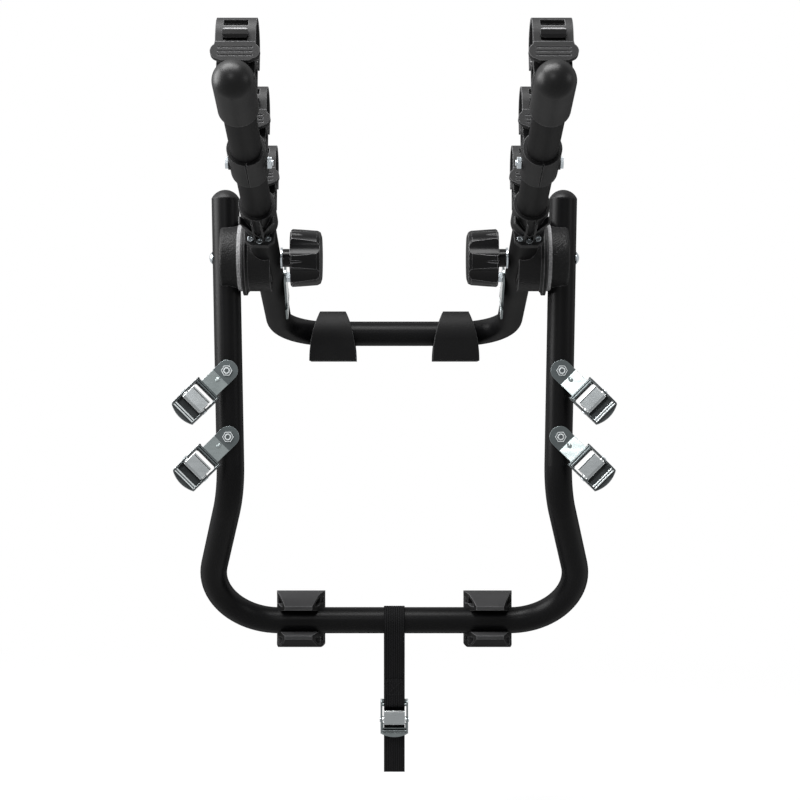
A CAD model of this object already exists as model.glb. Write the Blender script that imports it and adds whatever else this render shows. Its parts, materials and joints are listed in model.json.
import json
import math

import bmesh
import bpy
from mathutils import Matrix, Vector


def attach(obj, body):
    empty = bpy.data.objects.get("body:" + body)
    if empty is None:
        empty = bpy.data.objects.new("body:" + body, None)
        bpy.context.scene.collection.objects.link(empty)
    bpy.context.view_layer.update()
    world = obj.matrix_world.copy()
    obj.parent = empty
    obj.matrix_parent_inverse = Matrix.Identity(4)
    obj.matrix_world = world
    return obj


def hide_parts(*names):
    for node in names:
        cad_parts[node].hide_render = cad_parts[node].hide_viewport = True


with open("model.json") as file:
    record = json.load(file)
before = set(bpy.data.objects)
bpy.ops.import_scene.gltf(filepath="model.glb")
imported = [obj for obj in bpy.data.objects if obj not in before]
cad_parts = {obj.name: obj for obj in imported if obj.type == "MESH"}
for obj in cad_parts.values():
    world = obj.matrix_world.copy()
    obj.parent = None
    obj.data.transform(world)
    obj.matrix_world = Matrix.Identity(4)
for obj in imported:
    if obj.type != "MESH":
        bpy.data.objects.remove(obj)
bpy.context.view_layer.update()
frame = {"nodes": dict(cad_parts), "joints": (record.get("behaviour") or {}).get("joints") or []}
nodes = frame["nodes"]
scene = bpy.context.scene
mm = 0.001
print("frame loaded,", len(nodes), "nodes")

# camera, level and straight from behind the vehicle
view = {
    "place": (0.0, -2.1687, 0.2684),
    "lens": 78.75,
    "sensor": 36.0,
    "shiftX": 0.0071,
    "far": 60.0,
}
cameraData = bpy.data.cameras.new("rackCamera")
cameraData.lens = view["lens"]
cameraData.sensor_width = view["sensor"]
cameraData.shift_x = view["shiftX"]
cameraData.clip_end = view["far"]
cameraObject = bpy.data.objects.new("rackCamera", cameraData)
cameraObject.location = view["place"]
cameraObject.rotation_euler = (math.radians(90), 0, 0)
scene.collection.objects.link(cameraObject)
scene.camera = cameraObject
print("camera placed")


# small helpers for node trees
def addNode(tree, kind, **values):
    made = tree.nodes.new(kind)
    for key, value in values.items():
        setattr(made, key, value)
    return made


def mathNode(tree, operation, *values):
    made = addNode(tree, "ShaderNodeMath", operation=operation)
    for slot, value in enumerate(values):
        if isinstance(value, (int, float)):
            made.inputs[slot].default_value = value
        else:
            tree.links.new(value, made.inputs[slot])
    return made.outputs[0]


def rangeNode(tree, value, taken, given, **kind):
    made = addNode(tree, "ShaderNodeMapRange", **kind)
    for label, number in zip(("From Min", "From Max", "To Min", "To Max"), taken + given):
        made.inputs[label].default_value = number
    tree.links.new(value, made.inputs["Value"])
    return made.outputs["Result"]


def noiseNode(tree, where, scale, detail, roughness=0.5):
    made = addNode(tree, "ShaderNodeTexNoise")
    made.inputs["Detail"].default_value = detail
    made.inputs["Roughness"].default_value = roughness
    tree.links.new(where, made.inputs["Vector"])
    tree.links.new(scale, made.inputs["Scale"])
    return made.outputs["Fac"]


def startGroup(name, inputs, outputs):
    tree = bpy.data.node_groups.new(name, "ShaderNodeTree")
    for label, value in inputs:
        socket = tree.interface.new_socket(name=label, in_out="INPUT", socket_type="NodeSocketFloat")
        socket.default_value = value
    for label, kind in outputs:
        tree.interface.new_socket(name=label, in_out="OUTPUT", socket_type=kind)
    return tree, tree.nodes.new("NodeGroupInput"), tree.nodes.new("NodeGroupOutput")


# fine grain of a moulded or sprayed skin, with a slow mottle under it
skinNoise = {
    "detail": {"Grain": 2.0, "Mottle": 4.0},
    "roughness": 0.55,
}


def makeSkinGrain():
    tree, took, gives = startGroup(
        "skinGrain",
        [("Grain Scale", 900.0), ("Mottle Scale", 12.0)],
        [("Grain", "NodeSocketFloat"), ("Mottle", "NodeSocketFloat")],
    )
    where = addNode(tree, "ShaderNodeTexCoord").outputs["Object"]
    for label, detail in skinNoise["detail"].items():
        noise = noiseNode(tree, where, took.outputs[label + " Scale"], detail, skinNoise["roughness"])
        tree.links.new(noise, gives.inputs[label])
    return tree


# rubbed edges: where a slightly rounded normal leaves the surface's own
edgeMatch = (0.995, 0.86)  # how alike the two are on a plain face and on a worn edge
edgeSamples = 6


def makeEdgeRub():
    tree, took, gives = startGroup("edgeRub", [("Width", 0.0006)], [("Edge", "NodeSocketFloat")])
    rounded = addNode(tree, "ShaderNodeBevel", samples=edgeSamples)
    tree.links.new(took.outputs["Width"], rounded.inputs["Radius"])
    plain = addNode(tree, "ShaderNodeNewGeometry")
    match = addNode(tree, "ShaderNodeVectorMath", operation="DOT_PRODUCT")
    tree.links.new(rounded.outputs["Normal"], match.inputs[0])
    tree.links.new(plain.outputs["Normal"], match.inputs[1])
    tree.links.new(rangeNode(tree, match.outputs["Value"], edgeMatch, (0.0, 1.0)), gives.inputs["Edge"])
    return tree


# rolled and plated sheet: fine streaks and soft cloudy patches
plateNoise = {
    "turn": 45.0,  # degrees, the way the streaks run
    "stretch": 0.12,
    "streakDetail": 3.0,
    "cloudDetail": 5.0,
}


def makePlateStreak():
    tree, took, gives = startGroup(
        "plateStreak",
        [("Streak Scale", 260.0), ("Cloud Scale", 60.0)],
        [("Streak", "NodeSocketFloat"), ("Cloud", "NodeSocketFloat")],
    )
    where = addNode(tree, "ShaderNodeTexCoord").outputs["Object"]
    stretch = addNode(tree, "ShaderNodeMapping")
    stretch.inputs["Rotation"].default_value = (0.0, math.radians(plateNoise["turn"]), 0.0)
    stretch.inputs["Scale"].default_value = (plateNoise["stretch"], 1.0, 1.0)
    tree.links.new(where, stretch.inputs["Vector"])
    drawn = stretch.outputs["Vector"]
    streak = noiseNode(tree, drawn, took.outputs["Streak Scale"], plateNoise["streakDetail"])
    cloud = noiseNode(tree, where, took.outputs["Cloud Scale"], plateNoise["cloudDetail"])
    tree.links.new(streak, gives.inputs["Streak"])
    tree.links.new(cloud, gives.inputs["Cloud"])
    return tree


# plain weave of flat webbing, from its UV map in metres
weaveForm = {
    "rise": (0.22, 0.78),  # how much a thread's height changes along it, and its mean
    "soften": 0.7,
}


def makeWebWeave():
    tree, took, gives = startGroup(
        "webWeave",
        [("Warp Pitch", 0.0011), ("Weft Pitch", 0.0016)],
        [("Height", "NodeSocketFloat"), ("Tone", "NodeSocketFloat")],
    )
    uv = addNode(tree, "ShaderNodeUVMap", uv_map="webMap")
    split = addNode(tree, "ShaderNodeSeparateXYZ")
    tree.links.new(uv.outputs["UV"], split.inputs[0])
    across = mathNode(tree, "DIVIDE", split.outputs[0], took.outputs["Warp Pitch"])
    along = mathNode(tree, "DIVIDE", split.outputs[1], took.outputs["Weft Pitch"])
    odd = mathNode(tree, "MODULO", mathNode(tree, "FLOOR", across), 2.0)
    shifted = mathNode(tree, "ADD", along, mathNode(tree, "MULTIPLY", odd, 0.5))
    warp = mathNode(tree, "ABSOLUTE", mathNode(tree, "SINE", mathNode(tree, "MULTIPLY", across, math.pi)))
    weft = mathNode(tree, "SINE", mathNode(tree, "MULTIPLY", shifted, 2 * math.pi))
    height = mathNode(tree, "MULTIPLY", warp, mathNode(tree, "MULTIPLY_ADD", weft, *weaveForm["rise"]))
    tree.links.new(height, gives.inputs["Height"])
    tree.links.new(mathNode(tree, "POWER", height, weaveForm["soften"]), gives.inputs["Tone"])
    return tree


skinGrain = makeSkinGrain()
edgeRub = makeEdgeRub()
plateStreak = makePlateStreak()
webWeave = makeWebWeave()
print("node groups made")


def startFinish(name, roughness, specular, metallic=0.0):
    made = bpy.data.materials.new(name)
    made.use_nodes = True
    tree = made.node_tree
    shader = tree.nodes["Principled BSDF"]
    shader.inputs["Roughness"].default_value = roughness
    shader.inputs["Specular IOR Level"].default_value = specular
    shader.inputs["Metallic"].default_value = metallic
    return made, tree, shader


def placeGroup(tree, group, values):
    made = addNode(tree, "ShaderNodeGroup", node_tree=group)
    for label, value in values.items():
        made.inputs[label].default_value = value
    return made


def rampBetween(tree, factor, low, high, target):
    mix = addNode(tree, "ShaderNodeMix", data_type="RGBA")
    mix.inputs["A"].default_value = (*low, 1.0)
    mix.inputs["B"].default_value = (*high, 1.0)
    tree.links.new(factor, mix.inputs["Factor"])
    tree.links.new(mix.outputs["Result"], target)
    return mix


def bumpFrom(tree, height, strength, distance, shader, edge=0.0):
    bump = addNode(tree, "ShaderNodeBump")
    if edge:
        # moulded and pressed edges are never quite sharp
        soft = addNode(tree, "ShaderNodeBevel", samples=edgeSamples)
        soft.inputs["Radius"].default_value = edge
        tree.links.new(soft.outputs["Normal"], bump.inputs["Normal"])
    bump.inputs["Strength"].default_value = strength
    bump.inputs["Distance"].default_value = distance
    tree.links.new(height, bump.inputs["Height"])
    tree.links.new(bump.outputs["Normal"], shader.inputs["Normal"])


def rubEdges(tree, look, body, shader):
    if "rub" not in look:
        return
    rub = placeGroup(tree, edgeRub, {"Width": look["rubWidth"]})
    worn = rampBetween(tree, rub.outputs["Edge"], look["dark"], look["rub"], shader.inputs["Base Color"])
    tree.links.new(body.outputs["Result"], worn.inputs["A"])


noiseSpan = (0.25, 0.75)  # where most of a noise's values lie

# black skins: powder coat, moulded plastics and rubbers
skinRim = {
    "blend": 0.5,
    "facing": (0.35, 0.95),
    "rough": 0.55,
}
skinFinishes = {
    "tubePaint": {
        "dark": (0.0015, 0.0015, 0.0016), "light": (0.0023, 0.0023, 0.0025), "rough": (0.31, 0.38),
        "specular": 0.055, "grain": 750.0, "mottle": 14.0, "bump": 0.08, "depth": 0.0003, "edge": 0.0,
    },
    "capPlastic": {
        "dark": (0.0035, 0.0035, 0.0037), "light": (0.005, 0.005, 0.0052), "rough": (0.38, 0.46),
        "specular": 0.09, "grain": 1100.0, "mottle": 20.0, "bump": 0.10, "depth": 0.0003, "edge": 0.0008,
    },
    "hubPlastic": {
        "dark": (0.0020, 0.0020, 0.0021), "light": (0.0038, 0.0038, 0.0040), "rough": (0.34, 0.46),
        "specular": 0.095, "grain": 620.0, "mottle": 30.0, "bump": 0.85, "depth": 0.0011, "edge": 0.001,
        "rub": (0.085, 0.085, 0.087), "rubWidth": 0.0012,
    },
    "rubbedPlastic": {
        "dark": (0.010, 0.010, 0.0103), "light": (0.22, 0.22, 0.224), "rough": (0.46, 0.60),
        "specular": 0.16, "grain": 620.0, "mottle": 480.0, "bump": 0.85, "depth": 0.0011, "edge": 0.0,
    },
    "knobPlastic": {
        "dark": (0.0016, 0.0016, 0.0017), "light": (0.0022, 0.0022, 0.0024), "rough": (0.18, 0.24),
        "specular": 0.09, "grain": 1500.0, "mottle": 18.0, "bump": 0.03, "depth": 0.0002, "edge": 0.0012,
        "rub": (0.22, 0.22, 0.224), "rubWidth": 0.0008,
    },
    "cradlePlastic": {
        "dark": (0.0020, 0.0020, 0.0021), "light": (0.0034, 0.0034, 0.0036), "rough": (0.32, 0.40),
        "specular": 0.12, "grain": 1000.0, "mottle": 22.0, "bump": 0.14, "depth": 0.0003, "edge": 0.0009,
        "rub": (0.045, 0.045, 0.046), "rubWidth": 0.0010,
    },
    "bandRubber": {
        "dark": (0.0075, 0.0075, 0.0077), "light": (0.011, 0.011, 0.0113), "rough": (0.46, 0.56),
        "specular": 0.10, "grain": 1200.0, "mottle": 26.0, "bump": 0.16, "depth": 0.0003, "edge": 0.0008,
        "rub": (0.11, 0.11, 0.113), "rubWidth": 0.0009,
    },
    "padRubber": {
        "dark": (0.0012, 0.0012, 0.0013), "light": (0.0022, 0.0022, 0.0023), "rough": (0.42, 0.52),
        "specular": 0.06, "grain": 900.0, "mottle": 24.0, "bump": 0.24, "depth": 0.0004, "edge": 0.0016,
        "rub": (0.04, 0.04, 0.041), "rubWidth": 0.0011,
    },
    "footRubber": {
        "dark": (0.014, 0.014, 0.0144), "light": (0.026, 0.026, 0.0267), "rough": (0.36, 0.45),
        "specular": 0.04, "grain": 900.0, "mottle": 24.0, "bump": 0.20, "depth": 0.0004, "edge": 0.0016,
        "rub": (0.10, 0.10, 0.102), "rubWidth": 0.0011,
    },
}


def makeSkinFinish(name, look):
    made, tree, shader = startFinish(name, look["rough"][0], look["specular"])
    grain = placeGroup(tree, skinGrain, {"Grain Scale": look["grain"], "Mottle Scale": look["mottle"]})
    body = rampBetween(tree, grain.outputs["Mottle"], look["dark"], look["light"], shader.inputs["Base Color"])
    rubEdges(tree, look, body, shader)
    gloss = rangeNode(tree, grain.outputs["Mottle"], noiseSpan, look["rough"])
    # a fine grain scatters what would glance off the rims
    rim = addNode(tree, "ShaderNodeLayerWeight")
    rim.inputs["Blend"].default_value = skinRim["blend"]
    facing = rim.outputs["Facing"]
    dull = rangeNode(tree, facing, skinRim["facing"], (0.0, skinRim["rough"]), interpolation_type="SMOOTHSTEP")
    tree.links.new(mathNode(tree, "ADD", gloss, dull), shader.inputs["Roughness"])
    bumpFrom(tree, grain.outputs["Grain"], look["bump"], look["depth"], shader, look["edge"])
    return made


# bright metal: plated bolts and pressed sheet
metalFinishes = {
    "zincSteel": {
        "dark": (0.30, 0.33, 0.35), "light": (0.42, 0.45, 0.47), "rough": (0.20, 0.30),
        "streak": 420.0, "cloud": 90.0, "bump": 0.06, "depth": 0.0002, "edge": 0.0003,
    },
    "pressedSteel": {
        "dark": (0.105, 0.119, 0.121), "light": (0.165, 0.183, 0.186), "rough": (0.15, 0.26),
        "streak": 300.0, "cloud": 60.0, "bump": 0.08, "depth": 0.0002, "edge": 0.0005,
    },
    "tabSteel": {
        "dark": (0.062, 0.072, 0.074), "light": (0.100, 0.113, 0.116), "rough": (0.28, 0.38),
        "streak": 300.0, "cloud": 60.0, "bump": 0.16, "depth": 0.0002, "edge": 0.0005,
        "rub": (0.17, 0.19, 0.195), "rubWidth": 0.0008,
    },
    "neckSteel": {
        "dark": (0.145, 0.167, 0.168), "light": (0.225, 0.25, 0.25), "rough": (0.24, 0.31),
        "streak": 260.0, "cloud": 50.0, "bump": 0.08, "depth": 0.0002, "edge": 0.0005,
    },
    "boxSteel": {
        "dark": (0.020, 0.022, 0.023), "light": (0.040, 0.044, 0.045), "rough": (0.42, 0.54),
        "streak": 300.0, "cloud": 70.0, "bump": 0.08, "depth": 0.0002, "edge": 0.0005,
        "rub": (0.30, 0.33, 0.335), "rubWidth": 0.0006,
    },
    "barSteel": {
        "dark": (0.40, 0.43, 0.435), "light": (0.50, 0.53, 0.535), "rough": (0.26, 0.33),
        "streak": 300.0, "cloud": 70.0, "bump": 0.01, "depth": 0.0001, "edge": 0.0,
    },
    "boltFace": {
        "dark": (0.055, 0.063, 0.066), "light": (0.085, 0.095, 0.098), "rough": (0.28, 0.38),
        "streak": 420.0, "cloud": 90.0, "bump": 0.06, "depth": 0.0002, "edge": 0.0,
        "rub": (0.86, 0.90, 0.91), "rubWidth": 0.0019,
    },
    "stepSteel": {
        "dark": (0.010, 0.011, 0.0115), "light": (0.018, 0.0195, 0.020), "rough": (0.48, 0.60),
        "streak": 300.0, "cloud": 70.0, "bump": 0.02, "depth": 0.0001, "edge": 0.0,
    },
    "leverSteel": {
        "dark": (0.205, 0.22, 0.225), "light": (0.26, 0.275, 0.28), "rough": (0.24, 0.31),
        "streak": 300.0, "cloud": 80.0, "bump": 0.08, "depth": 0.0002, "edge": 0.0005,
        "rub": (0.78, 0.80, 0.80), "rubWidth": 0.0009,
    },
}


def makeMetalFinish(name, look):
    made, tree, shader = startFinish(name, look["rough"][0], specular=0.5, metallic=1.0)
    plate = placeGroup(tree, plateStreak, {"Streak Scale": look["streak"], "Cloud Scale": look["cloud"]})
    body = rampBetween(tree, plate.outputs["Cloud"], look["dark"], look["light"], shader.inputs["Base Color"])
    rubEdges(tree, look, body, shader)
    gloss = rangeNode(tree, plate.outputs["Streak"], noiseSpan, look["rough"])
    tree.links.new(gloss, shader.inputs["Roughness"])
    bumpFrom(tree, plate.outputs["Streak"], look["bump"], look["depth"], shader, look["edge"])
    return made


# sewing thread and webbing
threadLook = {
    "dark": (0.003, 0.003, 0.0032), "light": (0.006, 0.006, 0.0063), "rough": (0.45, 0.6),
    "specular": 0.10, "grain": 2400.0, "mottle": 60.0, "bump": 0.4, "depth": 0.0002, "edge": 0.0,
}
webLook = {
    "dark": (0.0006, 0.0006, 0.0007), "light": (0.0068, 0.0068, 0.0071), "rough": 0.72,
    "specular": 0.02, "warp": 2.69, "weft": 3.0, "bump": 0.55, "depth": 0.35,
}


def makeWebFinish(name, look):
    made, tree, shader = startFinish(name, look["rough"], look["specular"])
    weave = placeGroup(tree, webWeave, {"Warp Pitch": look["warp"] * mm, "Weft Pitch": look["weft"] * mm})
    rampBetween(tree, weave.outputs["Tone"], look["dark"], look["light"], shader.inputs["Base Color"])
    bumpFrom(tree, weave.outputs["Height"], look["bump"], look["depth"] * mm, shader)
    return made


finishes = {name: makeSkinFinish(name, look) for name, look in skinFinishes.items()}
finishes.update({name: makeMetalFinish(name, look) for name, look in metalFinishes.items()})
finishes["webbing"] = makeWebFinish("webbing", webLook)
finishes["thread"] = makeSkinFinish("thread", threadLook)
print("finishes made")


# finish by the start of a piece's name, the first that fits
finishStarts = (
    ("lower_frame", "tubePaint"),
    ("upper_frame", "tubePaint"),
    ("leg_cap", "capPlastic"),
    ("hub_outer", "hubPlastic"),
    ("hub_inner", "hubPlastic"),
    ("knob_nut", "zincSteel"),
    ("knob", "knobPlastic"),
    ("cradle_cross", "zincSteel"),
    ("cradle_screws", "zincSteel"),
    ("cradle", "cradlePlastic"),
    ("band", "bandRubber"),
    ("foot_upper", "padRubber"),
    ("foot", "footRubber"),
    ("buckle_bolts", "zincSteel"),
    ("buckle", "pressedSteel"),
    ("lever", "leverSteel"),
    ("strap_anchor", "pressedSteel"),
    ("", "zincSteel"),
)


def finishFor(name):
    return next(finish for start, finish in finishStarts if name.startswith(start))


def dress(piece, finish):
    piece.data.materials.clear()
    piece.data.materials.append(finishes[finish])


for name, piece in nodes.items():
    dress(piece, finishFor(name))
print("nodes dressed")


# a second finish on the faces that are chosen by place and facing
def markFaces(piece, finish, chosen):
    piece.data.materials.append(finishes[finish])
    last = len(piece.data.materials) - 1
    for face in piece.data.polygons:
        if chosen(piece.matrix_world @ face.center, face.normal):
            face.material_index = last


def makePiece(bm, name, finish):
    bmesh.ops.recalc_face_normals(bm, faces=bm.faces)
    mesh = bpy.data.meshes.new(name)
    bm.to_mesh(mesh)
    bm.free()
    made = bpy.data.objects.new(name, mesh)
    scene.collection.objects.link(made)
    dress(made, finish)
    return made


# side buckles: satin tab on the leg, brighter neck past the bend, dull box with bright cross bars
buckleZones = {
    "aim": 45.0,  # degrees below level, outwards
    "bendAt": 11.0,
    "bend": 15.0,
    "swivel": 0.2,
    "neck": (22.2, 2.6),  # length and height past the bend
    "rearBars": ((20.6, 5.4, 1.6), (23.6, 9.0, 1.3)),
    "frontBars": ((57.2, 5.7, 1.25), (59.9, 4.7, 1.0)),
    "near": 0.15,
    "lipStep": ((33.0, 33.8), (15.2, 16.0)),  # from the thumb plate's lip down to its face
    "boltFlat": 0.99,  # how squarely a bolt's flat looks ahead or back
}


def onBar(x, z, bars):
    return any(math.hypot(x - barX, z - barZ) < barR + buckleZones["near"] for barX, barZ, barR in bars)


# where the bracket bends, and the ways along its tab, along the part past the bend and out of that part
def bracketAxes(pivot):
    aim, bend = math.radians(buckleZones["aim"]), math.radians(buckleZones["bend"])
    tab = Vector((math.copysign(math.cos(aim), pivot[0]), 0.0, -math.sin(aim)))
    front = Vector((0.0, -1.0, 0.0))
    return {
        "start": Vector(pivot) + front * (buckleZones["swivel"] * mm) + tab * (buckleZones["bendAt"] * mm),
        "tab": tab,
        "along": tab * math.cos(bend) + front * math.sin(bend),
        "out": front * math.cos(bend) - tab * math.sin(bend),
    }


def pastBend(spot, axes):
    way = (spot - axes["start"]) / mm
    return way.dot(axes["along"]), way.dot(axes["out"])


def zoneOf(spot, axes):
    if (spot - axes["start"]).dot(axes["tab"]) <= 0:
        return "tabSteel"
    x, z = pastBend(spot, axes)
    if onBar(x, z, buckleZones["frontBars"]):
        return "barSteel"
    if onBar(x, z, buckleZones["rearBars"]):
        return "tabSteel"
    return "neckSteel" if x < buckleZones["neck"][0] and z < buckleZones["neck"][1] else "boxSteel"


def markZones(piece, axes):
    zones = ["tabSteel", "neckSteel", "boxSteel", "barSteel"]
    piece.data.materials.clear()
    for zone in zones:
        piece.data.materials.append(finishes[zone])
    for face in piece.data.polygons:
        face.material_index = zones.index(zoneOf(piece.matrix_world @ face.center, axes))


# the step behind the lip of a thumb plate lies in shade
def onLipStep(spot, axes):
    x, z = pastBend(spot, axes)
    (lowX, highX), (lowZ, highZ) = buckleZones["lipStep"]
    return lowX < x < highX and lowZ < z < highZ


# pressed dimple that stiffens the bend
dimple = {
    "at": 4.2,  # past the bend
    "half": (3.4, 2.6),
    "rise": 0.6,
    "plate": 2.5,
    "sunk": 0.3,
    "rings": 8,
    "sides": 32,
}


def makeDimple(name, axes):
    along, out = axes["along"], axes["out"]
    across = out.cross(along)
    middle = axes["start"] + (along * dimple["at"] + out * dimple["plate"]) * mm
    halfLong, halfWide = dimple["half"]
    turns = [2 * math.pi * k / dimple["sides"] for k in range(dimple["sides"])]
    bm = bmesh.new()

    def ring(share, rise):
        made = []
        for a in turns:
            flat = along * (halfLong * share * math.cos(a)) + across * (halfWide * share * math.sin(a))
            made.append(bm.verts.new(middle + (flat + out * rise) * mm))
        return made

    top = bm.verts.new(middle + out * (dimple["rise"] * mm))
    shares = [i / dimple["rings"] for i in range(1, dimple["rings"] + 1)]
    rings = [ring(t, dimple["rise"] * (1 - t * t) ** 2) for t in shares] + [ring(1.0, -dimple["sunk"])]
    for k in range(dimple["sides"]):
        j = (k + 1) % dimple["sides"]
        bm.faces.new((top, rings[0][k], rings[0][j])).smooth = True
        for first, second in zip(rings, rings[1:]):
            bm.faces.new((first[k], second[k], second[j], first[j])).smooth = True
    bm.faces.new(rings[-1])
    return makePiece(bm, name, "neckSteel")


for joint in frame["joints"]:
    if joint["name"].startswith("buckle"):
        axes = bracketAxes(joint["pos_m"])
        markZones(nodes[joint["child"]], axes)
        lever = nodes[joint["child"].replace("buckle", "lever")]
        markFaces(lever, "stepSteel", lambda spot, normal: onLipStep(spot, axes))
        pressed = makeDimple("dimple_" + joint["child"], axes)
        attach(pressed, joint["child"])


# nuts and bolt heads: dull faces inside a bright rim
def onBoltFace(spot, normal):
    return abs(normal.y) > buckleZones["boltFlat"]


markFaces(nodes["buckle_bolts"], "boltFace", onBoltFace)
print("buckles finished")

# rubbed pale: the serrated rim between the hub halves, and the upper edge of the foremost pegs
rubbed = {
    "hubFrom": 37.3,  # from the axis that the arms fold about
    "armRise": 16.5,  # degrees
    "pegChamfer": (1.8, 0.8),  # its height and depth
    "pegMatch": 0.998,
    "pegAbove": 585.0,
}
armFold = next(joint for joint in frame["joints"] if joint["name"] == "arm_fold")


def onHubRim(spot, normal):
    axisY, axisZ = armFold["pos_m"][1:]
    return math.hypot(spot.y - axisY, spot.z - axisZ) > rubbed["hubFrom"] * mm


def chamferFacing():
    rise = math.radians(rubbed["armRise"])
    forward = Vector((0.0, -math.cos(rise), math.sin(rise)))
    up = Vector((0.0, math.sin(rise), math.cos(rise)))
    high, deep = rubbed["pegChamfer"]
    return (forward * high + up * deep).normalized()


pegFacing = chamferFacing()


def onPegEdge(spot, normal):
    return spot.z > rubbed["pegAbove"] * mm and normal.dot(pegFacing) > rubbed["pegMatch"]


# lower feet: the lobes that look up are scuffed, the cheeks, pockets and undersides aren't
footShade = {
    "cheek": 0.3,  # how far a face looks sideways
    "under": -0.05,  # and up
}


def onFootShade(spot, normal):
    return abs(normal.x) > footShade["cheek"] or normal.z < footShade["under"]


for side in ("left", "right"):
    markFaces(nodes["hub_outer_" + side], "rubbedPlastic", onHubRim)
    markFaces(nodes["cradle_outer_" + side], "rubbedPlastic", onPegEdge)
    markFaces(nodes["foot_lower_" + side], "padRubber", onFootShade)
print("worn and shaded faces marked")

# centre strap: one length of webbing, sewn round the buckle's bar, over the lower bar and out through the cam
strap = {
    "width": 25.4,
    "thick": 1.5,
    "edge": 0.6,
    "ribs": 9,
    "ribDepth": 0.22,
    "ribSteps": 6,
    "step": 1.3,
    "barY": -35.5,  # lower bar's centre
    "barR": 15.875,
    "loopGap": 0.3,  # between the lower bar and the webbing
    "buckleTop": 77.4,
    "buckleY": 5.2,
    "hangBar": (25.0, 8.0, 1.9),
    "wrapGap": 0.15,  # between the buckle's bar and the webbing
    "layerGap": 0.1,
    "foldBack": 31.4,
    "foldPast": 1.0,
    "closeIn": ((-0.8, 3.0), (0.6, 8.0), (0.0, 11.0)),  # how the fold comes to lie on the other layer
    "runBehind": 2.2,  # the run to the cam, behind the buckle's middle
    "runIn": (1.5, 14.0),
    "underCam": (44.7, 47.2),
    "frontEdge": (53.9, 56.4),
    "tailAhead": 0.3,
    "tail": 186.0,
}


def arcPoints(y, z, r, turns):
    return [(y + r * math.cos(math.radians(a)), z + r * math.sin(math.radians(a))) for a in turns]


# middle line in Y and Z about the lower bar's centre, from the sewn end to the free end
def strapLine():
    half = strap["thick"] / 2
    top = strap["buckleTop"]
    hangX, hangZ, hangR = strap["hangBar"]
    wrapR = hangR + strap["wrapGap"] + half
    loopR = strap["barR"] + strap["loopGap"] + half
    y0 = strap["buckleY"] - hangZ
    z0 = -top - hangX
    layerY = y0 - wrapR + strap["thick"] + strap["layerGap"]
    foldZ = z0 + strap["foldBack"] + strap["foldPast"]
    runY = strap["buckleY"] - strap["runBehind"] - half
    tailY = strap["buckleY"] + strap["tailAhead"] + half
    leave, *closer = strap["closeIn"]
    line = [(y0 - wrapR, z0 + strap["foldBack"])]
    line += arcPoints(y0, z0, wrapR, range(180, 361, 20))
    line += [(y0 + wrapR + leave[0], z0 + leave[1])]
    line += [(layerY + y, z0 + z) for y, z in closer]
    line += [(layerY, foldZ)]
    line += arcPoints(0.0, 0.0, loopR, range(190, -11, -10))
    line += [(runY + strap["runIn"][0], foldZ), (runY, z0 + strap["runIn"][1])]
    line += [(runY, -top - z) for z in strap["underCam"]]
    line += [(tailY, -top - z) for z in strap["frontEdge"]]
    line += [(tailY, -strap["tail"])]
    return line


# rounds a line by cutting each corner at a quarter of its sides
def cutCorners(line):
    out = [line[0]]
    for a, b in zip(line, line[1:]):
        out.append((a[0] * 0.75 + b[0] * 0.25, a[1] * 0.75 + b[1] * 0.25))
        out.append((a[0] * 0.25 + b[0] * 0.75, a[1] * 0.25 + b[1] * 0.75))
    out.append(line[-1])
    return out


# points at even steps along a line, each with its length from the start
def evenSteps(line, step):
    lengths = [0.0]
    for a, b in zip(line, line[1:]):
        lengths.append(lengths[-1] + math.dist(a, b))
    count = max(2, round(lengths[-1] / step))
    out, k = [], 0
    for i in range(count + 1):
        s = lengths[-1] * i / count
        while k < len(line) - 2 and lengths[k + 1] < s:
            k += 1
        t = (s - lengths[k]) / max(lengths[k + 1] - lengths[k], 1e-9)
        a, b = line[k], line[k + 1]
        out.append((a[0] + (b[0] - a[0]) * t, a[1] + (b[1] - a[1]) * t, s))
    return out


# outline across the webbing, ribbed on both faces
def strapSection():
    half, edge = strap["thick"] / 2, strap["edge"]
    flat = strap["width"] / 2 - edge
    n = strap["ribSteps"] * strap["ribs"]
    top = []
    for i in range(n + 1):
        x = -flat + 2 * flat * i / n
        ripple = strap["ribDepth"] * (math.cos(2 * math.pi * strap["ribs"] * i / n + math.pi) - 1) / 2
        top.append((x, half + ripple))
    turns = [math.radians(a) for a in (30, 60, 90, 120, 150)]
    right = [(flat + edge * math.sin(a), half * math.cos(a)) for a in turns]
    under = [(x, -z) for x, z in reversed(top)]
    left = [(-x, -z) for x, z in right]
    return top + right + under + left


def makeStrap(name):
    line = evenSteps(cutCorners(cutCorners(strapLine())), strap["step"])
    section = strapSection()
    bm = bmesh.new()
    uvLayer = bm.loops.layers.uv.new("webMap")
    rings, wide = [], len(section)
    for i, (y, z, s) in enumerate(line):
        a, b = line[max(i - 1, 0)], line[min(i + 1, len(line) - 1)]
        t = Vector((b[0] - a[0], b[1] - a[1])).normalized()
        up = Vector((-t[1], t[0]))
        rings.append([
            bm.verts.new((x * mm, (strap["barY"] + y + up[0] * h) * mm, (z + up[1] * h) * mm))
            for x, h in section
        ])
    along = [p[2] * mm for p in line]
    for i in range(len(rings) - 1):
        for k in range(wide):
            j = (k + 1) % wide
            face = bm.faces.new((rings[i][k], rings[i][j], rings[i + 1][j], rings[i + 1][k]))
            face.smooth = True
            xs = (section[k][0], section[j][0], section[j][0], section[k][0])
            ss = (along[i], along[i], along[i + 1], along[i + 1])
            for loop, x, s in zip(face.loops, xs, ss):
                loop[uvLayer].uv = ((x + strap["width"]) * mm, s)
    for ring in (list(reversed(rings[0])), rings[-1]):
        bm.faces.new(ring)
    return makePiece(bm, name, "webbing"), along[-1]


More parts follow.
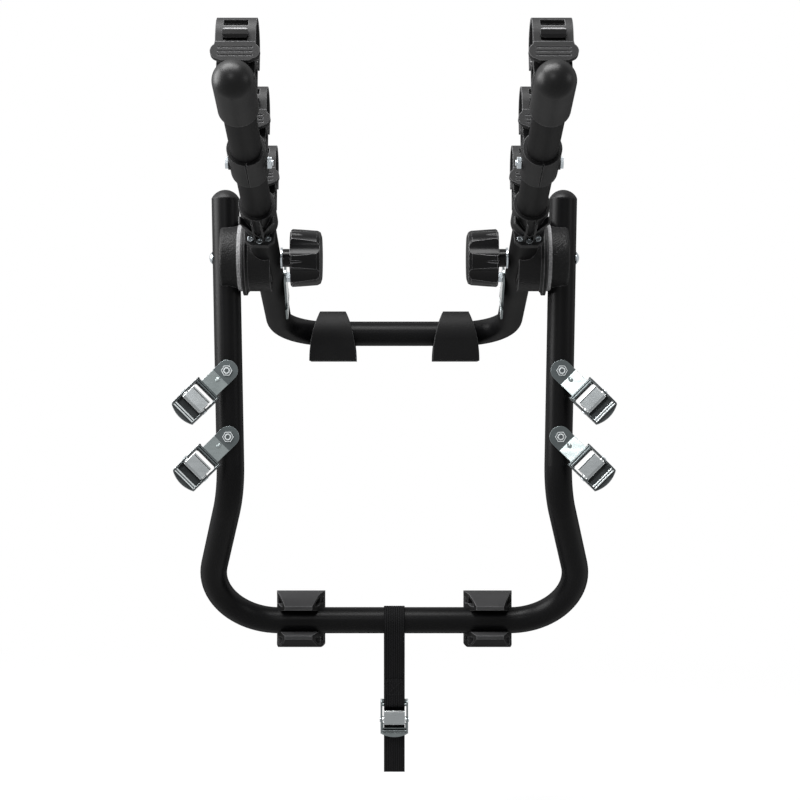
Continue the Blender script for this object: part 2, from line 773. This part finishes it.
webStrap, webLength = makeStrap("webStrap")
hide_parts("centre_strap")
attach(webStrap, "strap")
print("centre strap made, webbing", round(webLength / mm, 1), "mm long")

# sewing through both layers above the buckle's bar, a box with two diagonals
sewing = {
    "halfWidth": 9.4,
    "span": (12.5, 29.0),  # above the buckle's bar
    "stitch": 2.5,
    "gap": 0.7,
    "seen": 0.76,  # the share of each stitch that lies on top
    "thread": 0.32,
    "sides": 8,
    "swell": ((0.0, 0.3), (0.12, 0.75), (0.35, 1.0), (0.65, 1.0), (0.88, 0.75), (1.0, 0.3)),
}


def addStitch(bm, start, end, out):
    along = (end - start).normalized()
    wide = along.cross(out)
    sides = sewing["sides"]
    turns = [2 * math.pi * k / sides for k in range(sides)]
    rings = []
    for t, grow in sewing["swell"]:
        middle = start.lerp(end, t)
        r = sewing["thread"] * mm * grow
        rings.append([bm.verts.new(middle + wide * (r * math.cos(a)) + out * (r * math.sin(a))) for a in turns])
    for first, second in zip(rings, rings[1:]):
        for k in range(sides):
            j = (k + 1) % sides
            bm.faces.new((first[k], first[j], second[j], second[k])).smooth = True
    bm.faces.new(list(reversed(rings[0])))
    bm.faces.new(rings[-1])


def makeSewing(name):
    hangX, hangZ, hangR = strap["hangBar"]
    y = (strap["barY"] + strap["buckleY"] - hangZ - hangR - strap["wrapGap"] - strap["thick"]) * mm
    low, high = (-strap["buckleTop"] - hangX + z for z in sewing["span"])
    w = sewing["halfWidth"]
    corners = [Vector((x * mm, y, z * mm)) for x, z in ((-w, low), (w, low), (w, high), (-w, high))]
    out = Vector((0.0, -1.0, 0.0))
    bm = bmesh.new()
    for a, b in ((0, 1), (1, 2), (2, 3), (3, 0), (0, 2), (1, 3)):
        start, run = corners[a], corners[b] - corners[a]
        count = round(run.length / ((sewing["stitch"] + sewing["gap"]) * mm))
        for i in range(count):
            first = (i + (1 - sewing["seen"]) / 2) / count
            addStitch(bm, start + run * first, start + run * (first + sewing["seen"] / count), out)
    return makePiece(bm, name, "thread")


webSewing = makeSewing("webSewing")
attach(webSewing, "strap")
print("fold sewn")

# studio: white ground all round, soft lights at the left, above and ahead, a weak fill at the right
studio = {
    "floorZ": -0.24,
    "floorSize": 40.0,
    "floorColour": (0.62, 0.62, 0.62),
    "floorRough": 0.9,
    "floorWhite": (0.90, 1.0),  # how far the floor is seen as plain white, under the rack and far off
    "floorFade": (0.35, 1.6),  # metres from the rack over which that changes
    "worldLight": 0.22,
}
lamps = {
    "leftLamp": {"place": (-1.72, -0.40, 0.95), "aim": (0.0, -0.2, 0.30), "size": 1.5, "power": 100.0},
    "topLamp": {"place": (-0.80, -0.75, 2.00), "aim": (0.0, -0.2, 0.30), "size": 1.2, "power": 84.0},
    "headLamp": {"place": (0.0, -0.95, 1.9), "aim": (0.0, -0.2, 0.3), "size": 0.9, "power": 40.0},
    "frontLamp": {"place": (-0.33, -1.86, 0.97), "aim": (0.0, -0.2, 0.25), "size": 0.40, "power": 6.0},
    "rightLamp": {"place": (1.9, -1.1, 0.9), "aim": (0.0, -0.2, 0.3), "size": 0.9, "power": 9.0},
}


# one for rays from the eye, mirrored or through, and nought for light that only scatters
def seenShare(tree):
    light = addNode(tree, "ShaderNodeLightPath")
    seen = mathNode(tree, "MAXIMUM", light.outputs["Is Camera Ray"], light.outputs["Is Glossy Ray"])
    return mathNode(tree, "MAXIMUM", seen, light.outputs["Is Transmission Ray"])


def makeFloor():
    half = studio["floorSize"] / 2
    mesh = bpy.data.meshes.new("studioFloor")
    z = studio["floorZ"]
    corners = [(-half, -half, z), (half, -half, z), (half, half, z), (-half, half, z)]
    mesh.from_pydata(corners, [], [(0, 1, 2, 3)])
    made = bpy.data.objects.new("studioFloor", mesh)
    scene.collection.objects.link(made)
    finish = bpy.data.materials.new("studioFloor")
    finish.use_nodes = True
    tree = finish.node_tree
    shader = tree.nodes["Principled BSDF"]
    shader.inputs["Base Color"].default_value = (*studio["floorColour"], 1.0)
    shader.inputs["Roughness"].default_value = studio["floorRough"]
    shader.inputs["Specular IOR Level"].default_value = 0.0
    glow = addNode(tree, "ShaderNodeEmission")
    where = addNode(tree, "ShaderNodeTexCoord")
    far = addNode(tree, "ShaderNodeVectorMath", operation="LENGTH")
    tree.links.new(where.outputs["Object"], far.inputs[0])
    spans = studio["floorFade"], studio["floorWhite"]
    fade = rangeNode(tree, far.outputs["Value"], *spans, interpolation_type="SMOOTHSTEP")
    mix = addNode(tree, "ShaderNodeMixShader")
    tree.links.new(mathNode(tree, "MULTIPLY", seenShare(tree), fade), mix.inputs["Fac"])
    tree.links.new(shader.outputs["BSDF"], mix.inputs[1])
    tree.links.new(glow.outputs["Emission"], mix.inputs[2])
    tree.links.new(mix.outputs["Shader"], tree.nodes["Material Output"].inputs["Surface"])
    made.data.materials.append(finish)


def makeWorld():
    world = bpy.data.worlds.new("studioWorld")
    scene.world = world
    world.use_nodes = True
    tree = world.node_tree
    ground = tree.nodes["Background"]
    ground.inputs["Color"].default_value = (1.0, 1.0, 1.0, 1.0)
    strength = rangeNode(tree, seenShare(tree), (0.0, 1.0), (studio["worldLight"], 1.0))
    tree.links.new(strength, ground.inputs["Strength"])


def makeLamp(name, look):
    data = bpy.data.lights.new(name, "AREA")
    data.shape = "DISK"
    data.size = look["size"]
    data.energy = look["power"]
    made = bpy.data.objects.new(name, data)
    made.location = look["place"]
    way = Vector(look["aim"]) - Vector(look["place"])
    made.rotation_euler = way.to_track_quat("-Z", "Y").to_euler()
    scene.collection.objects.link(made)


makeFloor()
makeWorld()
for name, look in lamps.items():
    makeLamp(name, look)
scene.view_settings.view_transform = "Standard"
print("studio lit")

print("sizes written")
